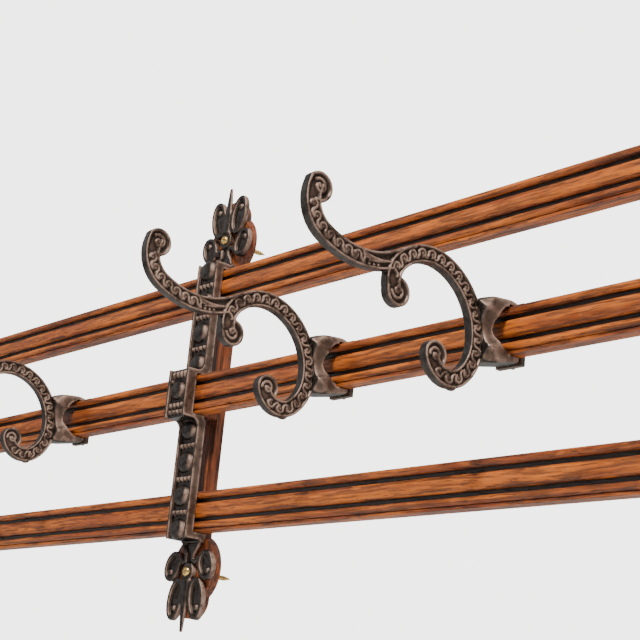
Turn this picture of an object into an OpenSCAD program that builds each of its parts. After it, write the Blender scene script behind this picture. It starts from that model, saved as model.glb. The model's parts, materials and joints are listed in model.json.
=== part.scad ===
// Wall hook rack: three reeded oak rails on two iron brackets, with six cast hooks that slide
// along the middle rail. +X runs along the rails, +Y points into the wall, +Z is up. The origin
// is on the wall plane, level with the middle rail and half way along it.

/* [Rails] */
// Length of each rail
rail_len = 1380; // [1240:10:1600]
// Height of a rail's section
rail_h = 32; // [28:1:40]
// Thickness of a rail, front to back
rail_t = 12.5; // [10:0.5:18]
// Height of the centre line of the top and bottom rails from the middle one
rail_pitch = 93; // [80:1:120]
// Height of the narrow reed along the top edge
top_reed_h = 6; // [4:0.5:8]
// Height of the narrow reed near the bottom edge
low_reed_h = 5.5; // [4:0.5:8]
// Width of the dark groove between reeds
groove_w = 3; // [2:0.5:3.5]
// Depth of the grooves below the reeds
groove_depth = 4; // [2:0.5:5]
// Height of the plain edge below the lowest reed
low_edge_h = 2.5; // [1.5:0.5:4]

/* [Brackets] */
// Distance of each bracket from the middle of the rails
bracket_x = 255; // [200:5:320]
// Width of the iron strap
strap_w = 26; // [20:1:34]
// Thickness of the iron strap
strap_t = 8; // [6:0.5:10]
// Thickness of the iron in front of the middle rail
stirrup_t = 10; // [7:0.5:14]
// Thickness of the iron above and below the middle rail
stirrup_wall = 3.7; // [3:0.1:6]
// Radius of the coves where the strap bends out to the middle rail
cove_r = 6; // [3:0.5:9]
// Spacing of the domes along the strap
dome_pitch = 27; // [24:0.5:32]
// Radius of a dome
dome_r = 9; // [7:0.5:11]
// Height that a dome stands from the strap's front
dome_proud = 1; // [0.5:0.25:3]
// Thickness of the leaf ends
leaf_t = 5.5; // [4:0.5:8]
// Height of the leaf end's point above the top rail's edge
tip_rise = 77; // [70:1:90]
// Height of the wall screws above the top rail's edge
screw_rise = 30; // [26:1:36]

/* [Battens] */
// Width of the oak battens behind the rails
batten_w = 20; // [16:1:26]
// Thickness of the battens
batten_t = 8; // [7:0.5:14]
// Thickness of the block between batten and middle rail
block_t = 13.5; // [11:0.5:18]

/* [Hooks] */
// Distance of the two inner hooks from the middle of the rails
inner_hook_x = 81; // [40:1:130]
// Distance of the next two hooks beyond the brackets
outer_hook_gap = 179; // [80:1:200]
// Distance of the two end hooks from the rails' ends
end_hook_margin = 84; // [40:1:100]
// Width of the hook's curved band
band_w = 11.5; // [9:0.5:13]
// Thickness of the hook's curved band
band_t = 7; // [5:0.5:9]
// Width of the claws that hold the middle rail
claw_w = 22; // [16:1:30]
// Thickness of the claws above and below the rail
claw_t = 4.5; // [4:0.5:7]
// Depth of the hollow between the claws and the rail's face
hollow_depth = 10; // [6:0.5:12]
// Thickness of the keeper plate behind the rail
keeper_t = 4; // [3:0.5:6]

/* [Fasteners] */
// Radius of the wall screws' threads
wall_screw_r = 2.1; // [1.75:0.05:2.5]
// Radius of the wall screws' plain shanks, inside the rack
wall_shank_r = 1.6; // [1.2:0.05:1.7]
// Radius of the wall screws' round heads
wall_head_r = 4; // [3.5:0.1:5]
// Length of the wall screws beyond the wall plane
wall_screw_reach = 30; // [20:1:45]
// Radius of the wood screws' shanks
wood_screw_r = 1.75; // [1.5:0.05:2.25]
// Wood left between a wood screw's hole and the grooves
screw_floor = 1.5; // [1:0.25:3]
// Radius of the keeper screws' shanks
keeper_screw_r = 1.25; // [1:0.05:1.5]
// Depth that the keeper screws reach into a claw
keeper_screw_bite = 7; // [5:0.5:9]

/* [Clearances] */
// Gap between a hook's claws or keeper and the middle rail
slide_gap = 0.3; // [0.2:0.05:0.5]
// Gap between the iron bracket and the middle rail
stirrup_gap = 0.3; // [0.2:0.05:0.5]
// Gap round a screw in its hole
screw_gap = 0.05; // [0.02:0.01:0.2]

/* [Hidden] */
$fn = 64;
small = 0.01;                                   // lap of two shapes that are joined
past = 1;                                       // how far a cut runs past what it cuts

OAK = [0.62, 0.32, 0.12];
DARK_OAK = [0.42, 0.17, 0.08];
IRON = [0.29, 0.24, 0.21];
BRASS = [0.78, 0.62, 0.28];
STEEL = [0.55, 0.55, 0.56];

// Places from the wall plane forwards, all along -Y
batten_front = -batten_t;
rail_front = batten_front - rail_t;             // top and bottom rails
middle_back = batten_front - block_t;
middle_front = middle_back - rail_t;
strap_front = rail_front - strap_t;
stirrup_front = middle_front - stirrup_t;
rack_top = rail_pitch + rail_h / 2;             // top edge of the top rail
shelf_t = leaf_t;                               // iron that steps back over the rail's edge
wall_screw_z = rack_top + screw_rise;
tip_z = rack_top + tip_rise;                    // the leaf end's point
outer_hook_x = bracket_x + outer_hook_gap;
end_hook_x = rail_len / 2 - end_hook_margin;

// The leaf end. A leaf is [distance from the centre line, height from the wall screw, lean in
// degrees, length, radius at its tip, radius at its root].
upper_leaf = [6, 2, 14, 20, 10, 6];
lower_leaf = [11, -17, 36, 15, 9, 6];
leaf_inset = 0.4;                               // how far a leaf's flanks lie inside its circles
stem_in = 4;                                    // each side of the stem, inside the strap's
strap_stop = 12;                                // the strap's full width stops this far below the screw
boss_r = 9;                                     // round seat of the wall screw
spike_w = 5;                                    // width of the spike where it leaves the seat
spike_tip_w = 2;
head_low_r = 27;                                // the batten's head, behind the lower leaves
head_low_dz = -3;                               // and its height from the wall screw
head_high_r = 16;                               // the batten's head, behind the upper leaves
head_high_dz = 20;

// Heights in a rail's section, from its centre line
top_groove_z = rail_h / 2 - top_reed_h;
mid_reed_h = rail_h - top_reed_h - low_reed_h - low_edge_h - 2 * groove_w;
mid_reed_z = top_groove_z - groove_w - mid_reed_h / 2;
low_groove_z = mid_reed_z - mid_reed_h / 2;
low_reed_z = low_groove_z - groove_w - low_reed_h / 2;
mid_reed_r = (pow(mid_reed_h / 2, 2) + pow(groove_depth, 2)) / (2 * groove_depth);

// Screws
wall_head_h = wall_head_r * 0.7;                // a round head is a low dome
slot_w = 1;                                     // width and depth of the slot in it
wall_head_sphere = (pow(wall_head_r, 2) + pow(wall_head_h, 2)) / (2 * wall_head_h);
wall_head_y = batten_front - leaf_t;            // the leaf end's face, under the head
csk_r = 2 * wood_screw_r;                       // a countersunk head is twice its shank
csk_h = wood_screw_r;
wood_screw_bite = rail_t - groove_depth - screw_floor;
point_r = 0.3;                                  // a screw's point is blunt
rail_screw_len = batten_t + wood_screw_bite;
block_screw_len = batten_t + block_t + wood_screw_bite;
rail_screw_dz = 8;                              // two screws hold a rail, this far off its centre
pan_r = 2 * keeper_screw_r;
pan_h = 1.6;

// The hook's curves, in its own plane: [distance from the rail's face, height]. A curve starts
// at a point with a heading, and runs through tangent arcs of [radius, turn in degrees, and how
// much narrower than band_w it is, because the band narrows towards its scrolls]. The outline
// is drawn flat and thickened once, so every crossing in it is at a definite angle.
arm_start = [-96, 19.4, 203];
arm_arcs = [[63, -51, 0], [21, -90, 0.4], [11, -40, 0.8]];
crook_start = [-93, 2, 108];
crook_arcs = [[19, -63, 0.8], [37, -55, 0.4], [44, -86, 0], [31, -46, 0.4], [17, -90, 0.8]];
arc_lap = 1;                                    // degrees that an arc runs into its neighbours
arm_scroll = [-157, 46.5, 3.75];                // [distance, height, and radius beyond half
inner_scroll = [-89.5, 1.5, 3.75];              // the band's width] of each scroll's end
lower_scroll = [-54.5, -29, 3];
neck_left = -22;                                // where the neck leaves the crook's band
neck_top = 9;
neck_bottom = -22;
neck_over = 0.5;                                // the neck stands this far proud of the band's faces
claw_front = 14;                                // the claws begin this far in front of the rail
flare_end = 4;                                  // and are full width from here back
hollow_edge = 2;                                // iron between the hollow and each claw
hollow_r = 17;                                  // radius of the hollow in front of the rail
keeper_y = rail_t + slide_gap;                  // the claws end and the keeper starts here
claw_in = rail_h / 2 + slide_gap;
claw_out = claw_in + claw_t;
keeper_screw_z = (claw_in + claw_out) / 2;

// A curve's state after one arc: [distance, height, heading]
function arc_centre(s, a) = let (side = sign(a[1]))
  [s[0] - side * a[0] * sin(s[2]), s[1] + side * a[0] * cos(s[2])];
function arc_end(s, a) = let (side = sign(a[1]), c = arc_centre(s, a), h = s[2] + a[1])
  [c[0] + side * a[0] * sin(h), c[1] - side * a[0] * cos(h), h];
function state(start, arcs, n) = n == 0 ? start : arc_end(state(start, arcs, n - 1), arcs[n - 1]);

// ---- Rails ----------------------------------------------------------------------------------

// A narrow reed is half round, sunk at its sides to the grooves' floor
module narrow_reed(z, h) {
  translate([-groove_depth, z]) union() {
    translate([groove_depth - h / 2, 0]) circle(d = h);
    translate([-small, -h / 2]) square([groove_depth - h / 2 + small, h]);
  }
}

// Section of a rail: x is forwards, y is up, with the face of the reeds at x = 0
module rail_section() {
  body_front = -groove_depth;
  translate([-rail_t, -rail_h / 2]) square([rail_t + body_front, rail_h]);
  narrow_reed(rail_h / 2 - top_reed_h / 2, top_reed_h);
  narrow_reed(low_reed_z, low_reed_h);
  intersection() {
    translate([-mid_reed_r, mid_reed_z]) circle(r = mid_reed_r);
    translate([body_front - small, mid_reed_z - mid_reed_h / 2])
      square([groove_depth + past, mid_reed_h]);
  }
}

module rail(front, z) {
  difference() {
    translate([rail_len / 2, front, z]) rotate([90, 0, -90])
      linear_extrude(rail_len) rail_section();
    for (x = [-bracket_x, bracket_x])
      pilot_holes(x, front, z);
  }
}

// Pilot holes for the wood screws, in the back of a rail
module pilot_holes(x, front, z) {
  for (dz = [-rail_screw_dz, rail_screw_dz])
    translate([x, front + rail_t - wood_screw_bite - screw_gap, z + dz]) rotate([-90, 0, 0])
      cylinder(r = wood_screw_r + screw_gap, h = wood_screw_bite + screw_gap + past);
}

module top_rail() { color(OAK) rail(rail_front, rail_pitch); }
module middle_rail() { color(OAK) rail(middle_front, 0); }
module bottom_rail() { color(OAK) rail(rail_front, -rail_pitch); }

// ---- Brackets -------------------------------------------------------------------------------

// Outline of one leaf on the given side: a circle at each end, and straight flanks that run
// into both circles just inside their widest points
module leaf_outline(leaf, side) {
  tip_w = leaf[4] - leaf_inset;
  root_w = leaf[5] - leaf_inset;
  translate([side * leaf[0], wall_screw_z + leaf[1]]) rotate(-side * leaf[2]) {
    circle(r = leaf[5]);
    translate([0, leaf[3]]) circle(r = leaf[4]);
    polygon([[-root_w, 0], [root_w, 0], [tip_w, leaf[3]], [-tip_w, leaf[3]]]);
  }
}

// Two pairs of leaves and a spike round a stem; x is along the rails and y is up
module leaf_end_outline() {
  stem_w = strap_w - 2 * stem_in;
  translate([-strap_w / 2, rack_top]) square([strap_w, screw_rise - strap_stop]);
  translate([-stem_w / 2, rack_top]) square([stem_w, screw_rise]);
  translate([0, wall_screw_z]) circle(r = boss_r);
  polygon([[-spike_w / 2, wall_screw_z], [spike_w / 2, wall_screw_z],
           [spike_tip_w / 2, tip_z], [-spike_tip_w / 2, tip_z]]);
  for (side = [-1, 1], leaf = [upper_leaf, lower_leaf]) leaf_outline(leaf, side);
}

// Side view of the strap; x is towards the wall, y is up
module strap_side() {
  reach = rack_top + slide_gap;
  box_z = rail_h / 2 + stirrup_gap + stirrup_wall;
  block_gap = 1;                                // the stirrup stops this far short of the rail's back
  difference() {
    union() {
      translate([strap_front, -reach]) square([strap_t, 2 * reach]);
      translate([stirrup_front, -box_z]) square([middle_back - block_gap - stirrup_front, 2 * box_z]);
      for (side = [-1, 1]) {
        // the shelf that steps back over the rail's edge
        translate([strap_front, side * (reach + shelf_t / 2) - shelf_t / 2 - small])
          square([batten_front - strap_front, shelf_t + 2 * small]);
        // the cove between the strap and the box round the middle rail
        difference() {
          translate([strap_front - cove_r, side * (box_z + cove_r / 2) - cove_r / 2])
            square([cove_r + small, cove_r]);
          translate([strap_front - cove_r, side * (box_z + cove_r)]) circle(r = cove_r);
        }
      }
    }
    translate([middle_front - stirrup_gap, -rail_h / 2 - stirrup_gap])
      square([rail_t + block_t, rail_h + 2 * stirrup_gap]);
  }
}

module bracket(x) {
  domes = floor((rack_top - dome_r / 2) / dome_pitch);
  translate([x, 0, 0]) difference() {
    union() {
      translate([-strap_w / 2, 0, 0]) rotate([90, 0, 90]) linear_extrude(strap_w) strap_side();
      for (side = [-1, 1], i = [1 : domes])
        intersection() {
          translate([0, strap_front + dome_r - dome_proud, side * i * dome_pitch]) sphere(r = dome_r);
          translate([-strap_w / 2, strap_front - dome_proud - past, -rack_top])
            cube([strap_w, strap_t, 2 * rack_top]);
        }
      for (turn = [0, 180]) rotate([0, turn, 0]) translate([0, batten_front, 0])
        rotate([90, 0, 0]) linear_extrude(leaf_t) leaf_end_outline();
    }
    for (side = [-1, 1]) wall_screw_hole(side * wall_screw_z);
  }
}

// A wall screw's hole, through the leaf end and the batten
module wall_screw_hole(z) {
  translate([0, wall_head_y - past, z]) rotate([-90, 0, 0])
    cylinder(r = wall_screw_r + screw_gap, h = leaf_t + batten_t + 2 * past);
}

module left_bracket() { color(IRON) bracket(-bracket_x); }
module right_bracket() { color(IRON) bracket(bracket_x); }

// ---- Battens and packing blocks ----------------------------------------------------------------

// A batten's head is cut to a plain shape inside the iron leaves
module batten_outline() {
  translate([-batten_w / 2, -wall_screw_z]) square([batten_w, 2 * wall_screw_z]);
  for (side = [-1, 1]) {
    translate([0, side * (wall_screw_z + head_low_dz)]) circle(r = head_low_r);
    translate([0, side * (wall_screw_z + head_high_dz)]) circle(r = head_high_r);
  }
}

module batten(x) {
  difference() {
    translate([x, 0, 0]) rotate([90, 0, 0]) linear_extrude(batten_t) batten_outline();
    translate([x, 0, 0]) for (side = [-1, 1]) wall_screw_hole(side * wall_screw_z);
    for (z = [-rail_pitch, 0, rail_pitch], dz = [-rail_screw_dz, rail_screw_dz])
      translate([x, 0, z + dz]) wood_screw_cut(batten_t + past);
  }
}

// The hole that a countersunk wood screw needs, from the wall plane forwards
module wood_screw_cut(len) {
  rotate([90, 0, 0]) {
    translate([0, 0, -past]) cylinder(r = wood_screw_r + screw_gap, h = len + past);
    translate([0, 0, -small]) cylinder(r1 = csk_r + screw_gap, r2 = wood_screw_r, h = csk_h + small);
  }
}

module packing_block(x) {
  difference() {
    translate([x - batten_w / 2, middle_back, -rail_h / 2]) cube([batten_w, block_t, rail_h]);
    for (dz = [-rail_screw_dz, rail_screw_dz])
      translate([x, batten_front + past, dz]) rotate([90, 0, 0])
        cylinder(r = wood_screw_r + screw_gap, h = block_t + 2 * past);
  }
}

module left_batten() { color(DARK_OAK) batten(-bracket_x); }
module right_batten() { color(DARK_OAK) batten(bracket_x); }
module left_packing_block() { color(DARK_OAK) packing_block(-bracket_x); }
module right_packing_block() { color(DARK_OAK) packing_block(bracket_x); }

// ---- Screws ---------------------------------------------------------------------------------

// A round-headed slotted brass screw that points along +Y, with its head on the leaf end. Its
// rolled thread is thicker than its plain shank, and starts at the wall plane.
module wall_screw() {
  plain = -wall_head_y;
  point = 3 * wall_screw_r;
  difference() {
    intersection() {
      translate([0, wall_head_sphere - wall_head_h, 0]) sphere(r = wall_head_sphere);
      translate([-wall_head_r - past, -wall_head_h - past, -wall_head_r - past])
        cube([2 * (wall_head_r + past), wall_head_h + past, 2 * (wall_head_r + past)]);
    }
    translate([-wall_head_r - past, -wall_head_h - past, -slot_w / 2])
      cube([2 * (wall_head_r + past), past + slot_w, slot_w]);
  }
  rotate([-90, 0, 0]) {
    translate([0, 0, -small]) cylinder(r = wall_shank_r, h = plain + 2 * small);
    translate([0, 0, plain]) {
      cylinder(r = wall_screw_r, h = wall_screw_reach - point);
      translate([0, 0, wall_screw_reach - point - small])
        cylinder(r1 = wall_screw_r, r2 = point_r, h = point + small);
    }
  }
}

module wall_screws() {
  color(BRASS) for (x = [-bracket_x, bracket_x], z = [-wall_screw_z, wall_screw_z])
    translate([x, wall_head_y, z]) wall_screw();
}

// A countersunk wood screw that points along -Y, with its head flush in the batten's back
module wood_screw(len) {
  point = 2 * wood_screw_r;
  rotate([90, 0, 0]) {
    cylinder(r1 = csk_r, r2 = wood_screw_r, h = csk_h);
    cylinder(r = wood_screw_r, h = len - point);
    translate([0, 0, len - point - small]) cylinder(r1 = wood_screw_r, r2 = point_r, h = point);
  }
}

module rail_screws() {
  color(STEEL) for (x = [-bracket_x, bracket_x], z = [-rail_pitch, rail_pitch],
                    dz = [-rail_screw_dz, rail_screw_dz])
    translate([x, 0, z + dz]) wood_screw(rail_screw_len);
}

module block_screws() {
  color(STEEL) for (x = [-bracket_x, bracket_x], dz = [-rail_screw_dz, rail_screw_dz])
    translate([x, 0, dz]) wood_screw(block_screw_len);
}

// ---- Hooks ----------------------------------------------------------------------------------

// Outline of one stretch of the band: the part of a ring inside a wedge
module band_arc(s, a) {
  half_w = (band_w - a[2]) / 2;
  from = s[2] - sign(a[1]) * 90 + min(a[1], 0) - arc_lap;
  span = abs(a[1]) + 2 * arc_lap;
  wedge_r = 2 * (a[0] + half_w);
  translate(arc_centre(s, a)) intersection() {
    difference() {
      circle(r = a[0] + half_w);
      circle(r = a[0] - half_w);
    }
    polygon([[0, 0], for (part = [0, 0.5, 1]) let (at = from + span * part)
             wedge_r * [cos(at), sin(at)]]);
  }
}

module band(start, arcs) {
  for (i = [0 : len(arcs) - 1]) band_arc(state(start, arcs, i), arcs[i]);
}

module scroll_end(s) {
  translate([s[0], s[1]]) circle(r = band_w / 2 + s[2]);
}

// The arm and the crook, centred on the hook's plane
module hook_band() {
  translate([0, 0, -band_t / 2]) linear_extrude(band_t) {
    band(arm_start, arm_arcs);
    band(crook_start, crook_arcs);
    scroll_end(arm_scroll);
    scroll_end(inner_scroll);
    scroll_end(lower_scroll);
  }
}

// Side view of the neck and the two claws, without the hollow
module claw_side() {
  translate([neck_left, neck_bottom]) square([-neck_left, neck_top - neck_bottom]);
  translate([-claw_front, -claw_out]) square([claw_front + keeper_y, 2 * claw_out]);
}

// View from above: narrow at the crook, full width at the rail
module claw_plan() {
  neck_half = band_t / 2 + neck_over;
  flare_r = claw_w / 2 - neck_half;
  flare_start = -flare_end - flare_r;
  translate([neck_left, -neck_half]) square([-neck_left, 2 * neck_half]);
  difference() {
    translate([flare_start, -claw_w / 2]) square([keeper_y - flare_start, claw_w]);
    for (side = [-1, 1])
      translate([flare_start, side * (claw_w / 2 + small)]) circle(r = flare_r);
  }
}

module claws() {
  difference() {
    intersection() {
      translate([0, 0, -claw_w / 2]) linear_extrude(claw_w) claw_side();
      rotate([90, 0, 0]) translate([0, 0, -claw_out - past])
        linear_extrude(2 * (claw_out + past)) claw_plan();
    }
    // the rail
    translate([-slide_gap, -claw_in, -claw_w]) cube([keeper_y + slide_gap + past, 2 * claw_in, 2 * claw_w]);
    // the hollow in front of it
    translate([hollow_r - hollow_depth, 0, -claw_w]) intersection() {
      cylinder(r = hollow_r, h = 2 * claw_w);
      translate([-hollow_r - past, hollow_edge - claw_in, 0])
        cube([2 * (hollow_r + past), 2 * (claw_in - hollow_edge), 2 * claw_w]);
    }
    // pilot holes for the keeper's screws
    for (side = [-1, 1])
      translate([keeper_y - keeper_screw_bite - screw_gap, side * keeper_screw_z, 0]) rotate([0, 90, 0])
        cylinder(r = keeper_screw_r + screw_gap, h = keeper_screw_bite + screw_gap + past);
  }
}

// Stands what is drawn in the hook's plane up at its place on the middle rail
module at_rail(x) {
  translate([x, middle_front, 0]) rotate([90, 0, 90]) children();
}

module hook(x) {
  color(IRON) at_rail(x) {
    hook_band();
    claws();
  }
}

module keeper(x) {
  color(IRON) at_rail(x) difference() {
    translate([keeper_y, -claw_out, -claw_w / 2]) cube([keeper_t, 2 * claw_out, claw_w]);
    for (side = [-1, 1]) translate([keeper_y - past, side * keeper_screw_z, 0]) rotate([0, 90, 0])
      cylinder(r = keeper_screw_r + screw_gap, h = keeper_t + 2 * past);
  }
}

// Two small screws from behind, through the keeper and into the claws
module keeper_screw_pair(x) {
  color(STEEL) at_rail(x) for (side = [-1, 1])
    translate([keeper_y + keeper_t, side * keeper_screw_z, 0]) rotate([0, -90, 0]) {
      cylinder(r = keeper_screw_r, h = keeper_t + keeper_screw_bite);
      translate([0, 0, -pan_h]) cylinder(r = pan_r, h = pan_h);
    }
}

hook_x = [-end_hook_x, -outer_hook_x, -inner_hook_x, inner_hook_x, outer_hook_x, end_hook_x];

module hook_1() { hook(hook_x[0]); }
module hook_2() { hook(hook_x[1]); }
module hook_3() { hook(hook_x[2]); }
module hook_4() { hook(hook_x[3]); }
module hook_5() { hook(hook_x[4]); }
module hook_6() { hook(hook_x[5]); }
module keeper_1() { keeper(hook_x[0]); }
module keeper_2() { keeper(hook_x[1]); }
module keeper_3() { keeper(hook_x[2]); }
module keeper_4() { keeper(hook_x[3]); }
module keeper_5() { keeper(hook_x[4]); }
module keeper_6() { keeper(hook_x[5]); }
module keeper_screws_1() { keeper_screw_pair(hook_x[0]); }
module keeper_screws_2() { keeper_screw_pair(hook_x[1]); }
module keeper_screws_3() { keeper_screw_pair(hook_x[2]); }
module keeper_screws_4() { keeper_screw_pair(hook_x[3]); }
module keeper_screws_5() { keeper_screw_pair(hook_x[4]); }
module keeper_screws_6() { keeper_screw_pair(hook_x[5]); }

top_rail();
middle_rail();
bottom_rail();
left_bracket();
right_bracket();
left_batten();
right_batten();
left_packing_block();
right_packing_block();
wall_screws();
rail_screws();
block_screws();
hook_1();
hook_2();
hook_3();
hook_4();
hook_5();
hook_6();
keeper_1();
keeper_2();
keeper_3();
keeper_4();
keeper_5();
keeper_6();
keeper_screws_1();
keeper_screws_2();
keeper_screws_3();
keeper_screws_4();
keeper_screws_5();
keeper_screws_6();
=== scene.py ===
# %% [markdown]
# A wall hook rack: reeded oak rails on two iron brackets, with cast hooks that slide on the middle
# rail. Everything is in metres, in the frame of the working model, so each new piece is made where
# that model says it belongs. First the model is loaded.

import json
import math

import bpy
import numpy as np
from mathutils import Matrix, Vector

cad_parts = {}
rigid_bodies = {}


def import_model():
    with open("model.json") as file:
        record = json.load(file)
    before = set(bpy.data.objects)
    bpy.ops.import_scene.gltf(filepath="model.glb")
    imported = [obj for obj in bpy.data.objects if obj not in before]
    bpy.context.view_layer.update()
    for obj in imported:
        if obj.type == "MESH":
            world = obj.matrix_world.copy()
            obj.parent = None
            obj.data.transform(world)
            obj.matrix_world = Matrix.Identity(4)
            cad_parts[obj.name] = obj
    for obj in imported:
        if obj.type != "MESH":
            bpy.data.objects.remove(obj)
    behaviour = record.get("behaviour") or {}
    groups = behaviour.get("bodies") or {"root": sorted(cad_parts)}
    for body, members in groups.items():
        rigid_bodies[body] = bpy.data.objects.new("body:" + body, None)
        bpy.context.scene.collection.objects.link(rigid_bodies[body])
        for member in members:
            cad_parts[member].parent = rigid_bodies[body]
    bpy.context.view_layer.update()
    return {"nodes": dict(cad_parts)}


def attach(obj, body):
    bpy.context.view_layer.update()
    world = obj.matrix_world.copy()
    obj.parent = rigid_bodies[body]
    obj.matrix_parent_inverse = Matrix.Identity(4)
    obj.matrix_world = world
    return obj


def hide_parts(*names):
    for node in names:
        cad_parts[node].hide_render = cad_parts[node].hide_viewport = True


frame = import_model()
MM = 0.001

# %% [markdown]
# The helpers below are the few things that are done again and again: make one object the active one,
# turn a curve into a mesh, make plain solids, join pieces into one, and fuse what was joined into a
# single skin. A voxel remesh does the fusing. It suits castings, whose parts flow into one another.

# %% Helpers


def only(obj):
    bpy.ops.object.select_all(action="DESELECT")
    obj.select_set(True)
    bpy.context.view_layer.objects.active = obj
    return obj


def settle(obj):
    """Moves an object's place, turn and size into its mesh."""
    only(obj)
    bpy.ops.object.transform_apply(location=True, rotation=True, scale=True)
    return obj


def finish_with(obj, kind, **settings):
    """Adds one modifier and applies it."""
    only(obj)
    modifier = obj.modifiers.new(kind.title(), kind)
    for key, value in settings.items():
        setattr(modifier, key, value)
    bpy.ops.object.modifier_apply(modifier=modifier.name)


def join(name, parts):
    bpy.ops.object.select_all(action="DESELECT")
    for part in parts:
        part.select_set(True)
    bpy.context.view_layer.objects.active = parts[0]
    bpy.ops.object.join()
    parts[0].name = name
    parts[0].data.name = name
    return parts[0]


def to_mesh(curve_obj):
    only(curve_obj)
    bpy.ops.object.convert(target="MESH")
    return bpy.context.view_layer.objects.active


def line_curve(name, points, closed=False, **settings):
    """A curve that runs straight from point to point, in millimetres; a flat point gets height 0."""
    curve = bpy.data.curves.new(name, "CURVE")
    for key, value in settings.items():
        setattr(curve, key, value)
    line = curve.splines.new("POLY")
    line.points.add(len(points) - 1)
    for spot, point in zip(line.points, points):
        spot.co = [v * MM for v in (*point, 0)[:3]] + [1]
    line.use_cyclic_u = closed
    obj = bpy.data.objects.new(name, curve)
    bpy.context.scene.collection.objects.link(obj)
    return obj


def tube(points, radius):
    """A round bar with closed ends along the points, in millimetres."""
    return to_mesh(line_curve("tube", points, dimensions="3D", bevel_depth=radius * MM,
                              bevel_resolution=3, use_fill_caps=True))


def ball(centre, radii):
    """An ellipsoid, in millimetres."""
    bpy.ops.mesh.primitive_uv_sphere_add(
        segments=24, ring_count=16, radius=1, location=[v * MM for v in centre]
    )
    obj = bpy.context.active_object
    obj.scale = [r * MM for r in radii]
    return settle(obj)


def block(low, high):
    """A box between two corners, in millimetres."""
    centre = [(a + b) / 2 * MM for a, b in zip(low, high)]
    bpy.ops.mesh.primitive_cube_add(size=1, location=centre)
    obj = bpy.context.active_object
    obj.scale = [(b - a) * MM for a, b in zip(low, high)]
    return settle(obj)


def drum(centre, radius, half_length, axis="Z", sides=64):
    """A cylinder along Z or Y, in millimetres."""
    turn = (math.pi / 2, 0, 0) if axis == "Y" else (0, 0, 0)
    bpy.ops.mesh.primitive_cylinder_add(
        vertices=sides, radius=radius * MM, depth=2 * half_length * MM,
        location=[v * MM for v in centre], rotation=turn,
    )
    return settle(bpy.context.active_object)


def cone(centre, start_r, end_r, length, axis="Z", sides=32):
    """A round taper towards +Z or +Y, in millimetres."""
    turn = (-math.pi / 2, 0, 0) if axis == "Y" else (0, 0, 0)
    bpy.ops.mesh.primitive_cone_add(
        vertices=sides, radius1=start_r * MM, radius2=end_r * MM, depth=length * MM,
        location=[v * MM for v in centre], rotation=turn,
    )
    return settle(bpy.context.active_object)


def twin(obj, name, move):
    """A copy with its own mesh, moved by a matrix."""
    made = obj.copy()
    made.data = obj.data.copy()
    made.name = name
    made.data.name = name
    bpy.context.scene.collection.objects.link(made)
    made.data.transform(move)
    return made


def cut(obj, tool):
    """Takes the tool's shape out of the object, and removes the tool."""
    finish_with(obj, "BOOLEAN", operation="DIFFERENCE", solver="EXACT", object=tool)
    bpy.data.objects.remove(tool)


def fuse(obj, voxel, soften):
    """One skin round all that the object holds; voxel is in millimetres, soften in smoothing rounds."""
    finish_with(obj, "REMESH", mode="VOXEL", voxel_size=voxel * MM, use_smooth_shade=True)
    finish_with(obj, "SMOOTH", factor=0.5, iterations=soften)
    triangles = sum(len(p.vertices) - 2 for p in obj.data.polygons)
    print(obj.name, "fused,", triangles, "triangles")
    return obj


# %% [markdown]
# The hook is a flat band that follows arcs, each one tangent to the next. It is worked out in the
# hook's own plane, as distance from the rail's face and height, by walking along the arcs. The
# walk gives points, headings and half widths, which everything on the band is then laid along.

# %% The hook's line
HALF_BAND = 5.75   # half the band's width
HALF_THICK = 3.5   # half its thickness at the rims
FLOOR = 2.1        # half its thickness in the channel
# A start is [distance, height, heading], and an arc is [radius, turn], in millimetres and degrees
ARM_START = (-96, 19.4, 203)
ARM_ARCS = [(63, -51), (21, -90)]
CROOK_START = (-92.15, -0.16, 115)
CROOK_ARCS = [(19, -70), (37, -55), (44, -86), (31, -46), (17, -104)]
STEP = 0.5


def walk(start, arcs):
    """Rows of [distance, height, heading] every half millimetre or so along tangent arcs."""
    a, b, heading = start
    rows = [(a, b, heading)]
    for radius, turn in arcs:
        steps = max(2, int(radius * math.radians(abs(turn)) / STEP))
        side = 1 if turn > 0 else -1
        ca = a - side * radius * math.sin(math.radians(heading))
        cb = b + side * radius * math.cos(math.radians(heading))
        for i in range(1, steps + 1):
            h = math.radians(heading + turn * i / steps)
            rows.append((ca + side * radius * math.sin(h), cb - side * radius * math.cos(h),
                         math.degrees(h)))
        a, b, heading = rows[-1]
    return rows


def lengths(rows):
    gaps = [math.dist(p[:2], q[:2]) for p, q in zip(rows, rows[1:])]
    return np.concatenate([[0], np.cumsum(gaps)])


def on_line(rows, along, across):
    """The point that lies this far along the line, and this far to its left."""
    s = lengths(rows)
    a = np.interp(along, s, [r[0] for r in rows])
    b = np.interp(along, s, [r[1] for r in rows])
    h = math.radians(np.interp(along, s, [r[2] for r in rows]))
    return a - across * math.sin(h), b + across * math.cos(h)


arm_line = walk(ARM_START, ARM_ARCS)
crook_line = walk(CROOK_START, CROOK_ARCS)
print("arm", round(lengths(arm_line)[-1]), "mm, crook", round(lengths(crook_line)[-1]), "mm")

# %% [markdown]
# The band's section has a round rim along each edge and a sunk channel between them, on both
# faces. A curve with a bevel object sweeps that section along the line, which keeps the rims even
# where a hand-bent strip would pinch on the tight turns.

# %% The band


def section_points():
    quarter = [(0, FLOOR), (3.5, FLOOR), (3.9, 2.5), (4.2, 3.2), (4.7, 3.5), (5.2, 3.4),
               (5.6, 2.9), (HALF_BAND, 2.2), (HALF_BAND, 0)]
    right = quarter + [(x, -y) for x, y in quarter[-2::-1]]
    left = [(-x, y) for x, y in right[-2:0:-1]]
    return right + left


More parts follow.
